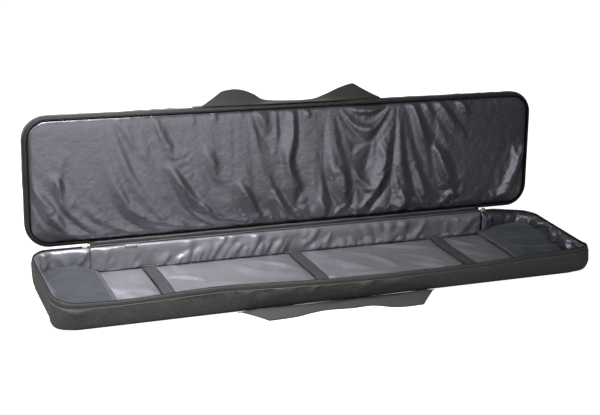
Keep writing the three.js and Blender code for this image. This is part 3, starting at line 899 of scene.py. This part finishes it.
def pocket(name, side, mouth):
    x = np.linspace(mouth, side * (HALF_L - 14), 72)
    t = np.linspace(-1, 1, 108)
    xx, tt = net(x, t)
    yy = tt * (half_width(xx, 13.0) - 1.0)
    along, down = x - x[0], t * 136
    inward = (xx - mouth) * side
    bend = creases(xx, yy, 61 + side, 14, 4 * side, 14, 50, 12, 1.6)
    bend += sum(fold(inward, yy, *ridge, blunt=0.15) for ridge in POCKET_FOLDS)
    bend *= np.clip((1 - np.abs(tt)) / 0.1, 0, 1) * smoothstep(inward, 4, 40)
    p = settle(np.stack([xx, yy, pocket_height(inward, yy, name) + bend], -1))
    obj = Soup().grid(p, np.abs(along), down).object(f"{name}_pocket_sheet", 1.2)
    dress(obj, "tray", TRICOT, "pocket_tricot", f"{name}_end_pocket")
    hem = 5
    lip = Soup().grid(p[:hem] + np.array([0, 0, 0.9]), np.abs(along[:hem]), down)
    for row, radius, sides, above in ((0, 1.7, 8, 0.2), (hem - 1, 0.7, 6, 0.8)):
        lip.sweep(tube(p[row] + np.array([0, 0, above]), radius, sides), down)
    dress(lip.object(f"{name}_mouth_binding"), "tray", BINDING, "edge_binding", f"{name}_pocket_binding")
    rear = p[:, -1] + np.array([0, 0, 0.2])
    dress(cord(f"{name}_pocket_piping", tube(rear, 1.6, 8), along), "tray", BINDING, "edge_binding")


# ---- rod straps ----
def rod_straps():
    for i, x in enumerate(STRAP_X, 1):
        y = np.linspace(-134, 128, 70)
        w = np.linspace(-15, 15, 9)
        yy, ww = net(y, w)
        wave = 1.2 * np.sin(yy / 31 + i) + 0.8 * np.sin(yy / 13 + 2 * i)
        zz = 13.0 + wave * 0.8 + 0.7 * np.cos(ww / 15 * 1.4)
        p = np.stack([x + ww + 1.5 * np.sin(yy / 50 + i), yy, zz], -1)
        obj = Soup().grid(settle(p), y, w).object(f"strap_band_{i}", 1.5)
        dress(obj, f"strap_{i}", STRAP, "webbing", f"rod_strap_{i}")
        # A near-black cord along each strap's left edge only: an edge binding, and also a painted shadow line
        # along the raised edge.
        lip = cord(f"strap_edge_binding_and_shadow_{i}", settle(tube(p[:, 0], 1.1, 6)), y)
        dress(lip, f"strap_{i}", COIL, "webbing")
        y = np.linspace(-134, -89, 16)
        yy, ww = net(y, w)
        p = settle(np.stack([x + ww, yy, np.full_like(yy, 9.6)], -1))
        patch = Soup().grid(p, y, w).object(f"strap_patch_{i}", 1.2)
        dress(patch, "tray", HOOKS, "hook_loop", f"rod_strap_patch_{i}")


# ---- lid ----
def lid_shell():
    s = all_round(5.0)
    low = [(0.4, 90), (0.2, 96), (-0.8, 101.5), (-2.8, 106), (-6.5, 109.6), (-12, 111.4), (-22, 112)]
    wall, u, v = shell_wall(s, 75.0, LID_SEAM_Z - 0.4, 4, 0.4, low)
    _, n = rim(s)
    bend = creases(u, v, 4, 120, 80, 30, 20, 8, 0.8) * np.clip(v / 12, 0, 1)
    wall[..., :2] += n[:, None] * bend[..., None]
    inner = to_medial(wall[:, -1], [0.06, 0.14, 0.24, 0.36, 0.5, 0.64, 0.78, 0.9, 1.0])
    inner[..., 2] = low[-1][1] + creases(inner[..., 0], inner[..., 1], 5, 40, 10, 40, 90, 22, 0.9)
    padded_shell("lid", opened(np.concatenate([wall, inner], 1)), s, "back")


LID_W = 2 * HALF_L - 17.0
LID_H = 2 * HALF_D - 15.0


def lid_rest(x, v):
    """Slack and skew of the lid's lining: its top edge is sewn a little to the left."""
    right = smoothstep(x, 600, 1000)
    skew = 0.06 - 0.04 * right
    return x * 1.004 + skew * v, v * (1.016 - 0.006 * right)


# Main folds of the lid's lining: a line of (x, height above the hinge), how wide and
# high it stands, and which side is the steep one.
LID_FOLDS = [
    ([(-450, 285), (-395, 212), (-338, 152)], 14, 7, 0.5),
    ([(-360, 275), (-322, 212), (-255, 172)], 17, 9, -0.5),
    ([(-322, 175), (-278, 105), (-235, 58), (-192, 10)], 13, 11, -0.6),
    ([(-600, 165), (-545, 98), (-470, 38)], 18, 8, -0.5),
    ([(-636, 130), (-590, 78), (-565, 5)], 15, 8, -0.5),
    ([(-495, 155), (-415, 85), (-350, 22)], 18, 6, -0.5),
    ([(-110, 285), (-60, 215), (-22, 165)], 18, 8, 0.5),
    ([(-16, 290), (-12, 215), (-26, 155), (8, 90), (26, 15)], 20, 16, -0.6),
    ([(205, 310), (200, 240), (172, 180)], 55, 20, -0.65),
    ([(150, 160), (200, 184), (236, 150), (222, 85), (155, 5)], 23, 16, -0.6),
    ([(70, 128), (122, 116), (130, 50), (100, 4)], 18, 12, -0.6),
    ([(300, 285), (345, 205), (388, 135)], 18, 14, -0.6),
    ([(362, 190), (408, 112), (440, 25)], 22, 19, -0.6),
    ([(645, 165), (604, 84), (575, 0)], 22, 15, -0.6),
    ([(285, 62), (292, 30), (262, 2)], 12, 9, -0.5),
    ([(448, 78), (420, 40), (385, 4)], 15, 10, -0.5),
    ([(372, 288), (440, 215), (468, 180)], 11, 8, -0.6),
    ([(330, 290), (372, 240)], 9, 6, -0.6),
    ([(432, 290), (474, 240)], 9, 6, -0.6),
    ([(-245, 205), (-200, 150), (-165, 120)], 16, 7, -0.5),
    ([(-150, 110), (-115, 60), (-90, 8)], 14, 8, -0.5),
    ([(-60, 90), (-35, 45), (-25, 4)], 12, 7, 0.5),
    ([(60, 60), (72, 30), (66, 2)], 11, 7, -0.5),
    ([(330, 110), (350, 60), (330, 10)], 14, 5, -0.4),
    ([(240, 110), (290, 135), (330, 120)], 18, 6, -0.4),
]


def lid_folds(x, v):
    """Height of the listed folds and of many small gathers at the sewn edges."""
    out = np.zeros_like(x)
    for ridge in LID_FOLDS:
        out = np.maximum(out, fold(x, v, *ridge))
    out += creases(x, v, 72, 60, -50, 25, 45, 12, 1.6)
    top = creases(x, np.clip(LID_H - v, 0, 60), 73, 150, 80, 20, 12, 4.0, 3.2)
    low = creases(x, np.clip(v, 0, 60), 74, 170, 90, 22, 15, 4.0, 3.2)
    top *= np.clip(1 - (LID_H - v) / 30, 0, 1) * smoothstep(x, -480, -100)
    low *= np.clip(1 - v / 50, 0, 1) * smoothstep(x, -340, -100)
    return out + top + low


def lid_lining(places):
    nx, nv = places.shape[:2]
    x0, v0 = net(np.linspace(-LID_W / 2, LID_W / 2, nx), np.linspace(0, LID_H, nv))
    out = soft_floor(-places[..., 1], 0.3)
    out = 20 * np.tanh(out / 20)
    # squeeze the rectangle into the rounded outline
    inset = 8.5
    y = (places[..., 2] - LID_H / 2) * half_width(x0, inset) / (HALF_D - inset)
    rim_gap = np.minimum(np.minimum(v0, LID_H - v0), LID_W / 2 - np.abs(x0))
    z = 80 - 4.2 * (1 - np.exp(-rim_gap / 7.0)) - out * np.clip(rim_gap / 8.0, 0.0, 1)
    p = opened(np.stack([places[..., 0] - LID_W / 2, -y, z], -1))
    obj = Soup().grid(p, x0[:, 0] + LID_W / 2, v0[0]).object("lid_satin", 0.5)
    dress(obj, "lid", SATIN, "lining_satin", "lid_lining")


def rear_bindings():
    x = np.linspace(-497, 497, 260)
    wave = 0.5 * np.sin(x / 29) + 0.4 * np.sin(x / 11)
    low = np.stack([x, 146.0 + 0 * x, 68.6 + wave], -1)
    high = opened(np.stack([x, 146.6 + wave, 74.4 + 0 * x], -1))
    for owner, line, radius in (("tray", low, 1.7), ("lid", high, 1.9)):
        obj = cord(f"{owner}_rear_cord", tube(line, radius, 8), x - x[0])
        dress(obj, owner, BINDING, "edge_binding", f"{owner}_rear_binding")


def fabric_hinge():
    x = np.linspace(-510, 510, 205)
    section = rounded([(148.6, 62), (149.6, 66), (149.9, 70), (150.6, 73), (153.5, 75), (157, 76.5)], 1.2)
    obj = Soup().grid(extruded(x, section), x - x[0], length_along(section)).object("hinge_fabric", 0.9)
    dress(obj, None, TAPE, "shell_fabric", "fabric_hinge")
    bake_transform(obj)


# ---- zip ends ----
def slider(name, x):
    """Two wings joined by a bridge, rounded at both ends, with an arch for the pull."""
    soup = Soup()
    t = np.linspace(-1, 1, 17)
    half = 5.2 * np.sqrt(1 - 0.72 * t**4)
    for y0, y1 in ((149.4, 150.1), (144.9, 146.6)):
        soup.sweep(bar(x + 7.5 * t, y0, y1, 67.2 - half, 67.2 + half))
    t = np.linspace(-1, 1, 9)
    soup.sweep(bar(x + 5.5 * t, 145.0, 150.0, np.full(9, 71.5), 72.4 - 0.6 * t**2))
    arch = [(x + dx, 147.4, z) for dx, z in ((-5, 72.0), (-4, 73.6), (0, 74.2), (4, 73.6), (5, 72.0))]
    soup.sweep(tube(rounded(arch, 0.6), 0.9, 8))
    dress(soup.object(f"{name}_slider_body"), f"{name}_slider", METAL, "zip_metal", f"{name}_zip_slider")


def puller(name, x):
    """The pull: a tapered tongue with an eye."""
    soup = Soup()
    z = np.linspace(31, 61.5, 24)
    w = np.interp(z, [31, 33, 38, 50, 58, 61.5], [1.6, 3.2, 4.0, 3.2, 2.6, 1.8])
    ring = [np.stack([x + sx * w, np.full(24, yy), z], -1)
            for sx, yy in ((-1, 149.6), (1, 149.6), (1, 150.6), (-1, 150.6))]
    soup.sweep(np.stack(ring, 1))
    eye = np.linspace(0, 2 * math.pi, 25)[:-1]
    loop = np.stack([x + 2.6 * np.cos(eye), np.full(24, 150.1), 37.5 + 3.6 * np.sin(eye)], -1)
    soup.sweep(tube(np.concatenate([loop, loop[:1]]), 0.55, 6))
    dress(soup.object(f"{name}_pull_tongue"), f"{name}_puller", METAL, "zip_metal", f"{name}_zip_puller")


def zip_stop(name, x):
    """The folded webbing that ends the zip."""
    t = np.linspace(-5.5, 5.5, 9)
    section = rounded([(145.2, 61), (144.9, 66), (145.2, 70), (146.2, 70.6), (147, 70), (147.1, 66),
                       (146.9, 61)], 1.2)
    obj = Soup().grid(extruded(x + t, section), t, length_along(section)).object(f"{name}_zip_stop", 0.7)
    dress(obj, "tray", WEBBING, "webbing", f"{name}_zip_end_tab")


def loop_tab():
    x = np.linspace(-430, -402, 9)
    section = rounded([(139.6, 59.5), (138.4, 62), (136.6, 64.4), (137.6, 66.3), (140.5, 66.8),
                       (143.5, 66.4)], 1.0)
    obj = Soup().grid(extruded(x, section), x, length_along(section)).object("loop_tab_band", 1.2)
    dress(obj, "tray", TAB, "edge_binding", "small_loop_tab")


# ---- handles ----
def handle(name, near, far, move, material):
    """Webbing between two given edge lines, slightly crowned across."""
    step, rows, crown = 5.0, 13, 1.5
    a, b = rounded(near, 1.0), rounded(far, 1.0)
    n = int(length_along(a)[-1] / step)
    a, b = [even(edge, length_along(edge)[-1] / n)[: n + 1] for edge in (a, b)]
    k = min(len(a), len(b))
    a, b = a[:k], b[:k]
    t = np.linspace(0, 1, rows)[None, :, None]
    p = a[:, None] * (1 - t) + b[:, None] * t
    normal = np.cross(b - a, np.gradient(a, axis=0))
    normal /= np.linalg.norm(normal, axis=1)[:, None]
    p = move(p + normal[:, None] * crown * np.sin(t * math.pi))
    obj = Soup().grid(p, length_along(p[:, 0]), np.linspace(0, 50, rows)).object(f"{name}_band", 2.4)
    dress(obj, name, material, "webbing", name)


def lid_handle():
    """The edges' points are x, how far out from the wall, and z; the sewn end patches have no body of their
    own.
    """
    wall = -HALF_D - 2.5
    near = [(-238, 1, 84), (-200, 1, 79), (-150, 1, 77), (-100, 1, 77), (-50, 1, 77), (0, 1, 77),
            (50, 1, 77), (100, 1, 77), (150, 1, 79), (195, 1, 83), (224, 1, 88)]
    far = [(-180, 29, 112), (-168, 32, 112), (-146, 34, 112), (-122, 30, 113), (-96, 19, 114),
           (-70, 5, 114), (-10, 0.5, 112), (50, 1, 112), (84, 10, 113), (124, 26, 113), (156, 35, 112),
           (170, 30, 112)]
    near, far = [[(x, wall - out, z) for x, out, z in edge] for edge in (near, far)]
    # the band and its sewn patches take the darker webbing copy, painted shade
    handle("lid_handle", near, far, opened, SHADED_LID_WEB)
    for i, x in enumerate((-228, 204), 1):
        xs = np.linspace(x - 25, x + 25, 12)
        zs = np.linspace(83, 108, 13)
        xx, zz = net(xs, zs)
        p = opened(np.stack([xx, np.full_like(xx, wall + 1.3), zz], -1))
        tab = Soup().grid(p, xs, zs).object(f"lid_handle_patch_{i}", 1.0)
        dress(tab, None, SHADED_LID_WEB, "webbing", f"lid_handle_tab_{i}")
        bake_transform(tab)


def tray_handle():
    """The edges' points are x, y from the wall, and z; the handle lies on the table."""
    near = [(-247, -2, 3), (-215, -4, 6.5), (-160, -4, 6), (-100, -3, 4.5), (-50, 1, 3), (0, 3, 2.4),
            (60, 3, 2.4), (110, 2, 2.6), (160, 0, 3.2), (196, -3, 5.5), (223, -2, 3)]
    far = [(-202, -57), (-190, -57), (-136, -54), (-100, -45), (-60, -39), (0, -44), (50, -44), (90, -63),
           (120, -69), (155, -69), (166, -68)]
    near = [(x, y - HALF_D - 2 * math.exp(-(((x - 60) / 300) ** 2)), z) for x, y, z in near]
    far = [(x, y - HALF_D, 1.6) for x, y in far]
    handle("tray_handle", near, far, lambda p: p, WEBBING)


# ---- inner CAD pieces that stay ----
def finish_cad_nodes():
    kept = {
        BOARD: ("tray_stiffener_board", "lid_stiffener_board"),
        FOAM: ("tray_floor_foam", "lid_foam_pad", "lid_wall_foam"),
        WEBBING: ("tray_handle_tab_1", "tray_handle_tab_2"),
    }
    for material, names in kept.items():
        for name in names:
            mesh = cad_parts[name].data
            mesh.materials.clear()
            mesh.materials.append(material)


# ---- camera, floor and lights ----
def camera():
    data = bpy.data.cameras.new("camera")
    data.lens = 74.416
    data.sensor_width = 36
    data.clip_end = 50
    place = (-1.11197, -2.46173, 1.117)
    yaw, pitch, roll = math.radians(23.1896), math.radians(19.3648), math.radians(3.161)
    ahead = np.array([math.sin(yaw) * math.cos(pitch), math.cos(yaw) * math.cos(pitch), -math.sin(pitch)])
    level = np.array([math.cos(yaw), -math.sin(yaw), 0])
    above = np.cross(level, ahead)
    m = np.eye(4)
    m[:3, 0] = math.cos(roll) * level + math.sin(roll) * above
    m[:3, 1] = math.cos(roll) * above - math.sin(roll) * level
    m[:3, 2] = -ahead
    m[:3, 3] = place
    obj = placed("camera", data)
    obj.matrix_world = Matrix(m.tolist())
    bpy.context.scene.camera = obj


def softbox(name, place, target, size, power, spread=180):
    light = bpy.data.lights.new(name, "AREA")
    light.shape = "RECTANGLE"
    light.size, light.size_y = size
    light.energy = power
    light.spread = math.radians(spread)
    obj = placed(name, light)
    way = np.array(target, float) - np.array(place, float)
    obj.location = place
    obj.rotation_euler = Vector(way).to_track_quat("-Z", "Y").to_euler()
    obj.visible_camera = False


def surroundings():
    """A dim room that is lighter to the left; the camera sees it white."""
    scene = bpy.context.scene
    scene.view_settings.view_transform = "Standard"
    world = bpy.data.worlds.new("studio")
    scene.world = world
    world.use_nodes = True
    tree = world.node_tree
    back = tree.nodes["Background"]
    way = node(tree, "ShaderNodeTexCoord").outputs["Generated"]
    side = node(tree, "ShaderNodeSeparateXYZ", {0: way}).outputs[0]
    room = ramp(tree, side, -0.5, 0.5, 0.205, 0.09)
    seen = node(tree, "ShaderNodeLightPath").outputs["Is Camera Ray"]
    tree.links.new(maths(tree, "MAXIMUM", room, seen), back.inputs["Strength"])
    back.inputs["Color"].default_value = (1, 1, 1, 1)


def paper_floor():
    """White paper that glows only for the camera and lights the case from below only a little."""
    mesh = bpy.data.meshes.new("floor")
    reach = 6.0
    corners = [(-reach, -reach, 0), (reach, -reach, 0), (reach, reach, 0), (-reach, reach, 0)]
    mesh.from_pydata(corners, [], [(0, 1, 2, 3)])
    floor = placed("floor", mesh)
    floor.location.z = -0.0005
    material = bpy.data.materials.new("floor_paper")
    material.use_nodes = True
    tree = material.node_tree
    tree.nodes.clear()
    seen = node(tree, "ShaderNodeLightPath").outputs["Is Camera Ray"]
    paper = node(tree, "ShaderNodeBsdfDiffuse", {"Color": ramp(tree, seen, 0.0, 1.0, 0.3, 0.6)})
    glow = node(tree, "ShaderNodeEmission", {"Strength": maths(tree, "MULTIPLY", seen, 0.95)})
    both = node(tree, "ShaderNodeAddShader", {0: paper.outputs[0], 1: glow.outputs[0]})
    end = node(tree, "ShaderNodeOutputMaterial")
    tree.links.new(both.outputs[0], end.inputs[0])
    mesh.materials.append(material)


def lights():
    softbox("key", (-2.1, -1.1, 1.5), (-0.4, 0, 0.1), (1.0, 1.0), 13)
    softbox("above", (-0.5, -0.2, 1.05), (-0.4, 0, 0), (0.6, 0.6), 8, 108)
    softbox("white_table", (-0.15, -1.75, 0.01), (-0.15, -1.75, 1.0), (2.2, 1.6), 8.5)
    softbox("front_card", (0.0, -3.2, 0.9), (0.0, 0.0, 0.3), (3.0, 1.8), 18)
    softbox("rear_card", (-0.3, 2.6, 1.4), (0, 0.2, 0.2), (2.5, 1.2), 42)


def lining_places():
    """Where the cloth of the lid's, the rear wall's and the floor's linings comes to lie."""
    sheets = [
        ("lid_cloth", LID_W, LID_H, 5.0, lid_rest, lid_folds, 7, 1.0),
        ("rear_cloth", REAR_W, LINING_H, 4.0, rear_rest, rear_folds, 8, 0.0),
        ("floor_cloth", FLOOR_W, FLOOR_D, 6.0, floor_rest, floor_folds, 9, 0.0),
    ]
    return settled([cloth_sheet(*sheet) for sheet in sheets], 30)


TRAY_ZIP = [(-0.2, 56.6), (0.1, 60), (0, 64), (-0.6, 67), (-1.8, 69)]
LID_ZIP = [(-0.2, 86.4), (-0.1, 82), (-1.2, 78.8), (-3.4, 76.6), (-6, 75.6)]


def main():
    camera()
    surroundings()
    paper_floor()
    lights()
    lid_places, rear_places, floor_places = lining_places()
    tray_shell()
    zip_band("tray", TRAY_ZIP, (-2.6, TRAY_COIL_Z), settle, TRAY_TAPE)
    seam_welt("tray", SEAM_Z - 0.1, -3.2, settle)
    tray_wall_padding()
    tray_linings(rear_places)
    floor_liner(floor_places)
    floor_piping()
    pocket("left", -1, -497)
    pocket("right", 1, 504)
    rod_straps()
    lid_shell()
    zip_band("lid", LID_ZIP, (-7.0, 75.4), opened, TAPE)
    seam_welt("lid", LID_SEAM_Z + 0.2, 3.2, opened)
    lid_lining(lid_places)
    rear_bindings()
    fabric_hinge()
    for name, side in (("left", -1), ("right", 1)):
        slider(name, side * 521.5)
        puller(name, side * 521.5)
        zip_stop(name, side * 505.5)
    loop_tab()
    lid_handle()
    tray_handle()
    finish_cad_nodes()


main()
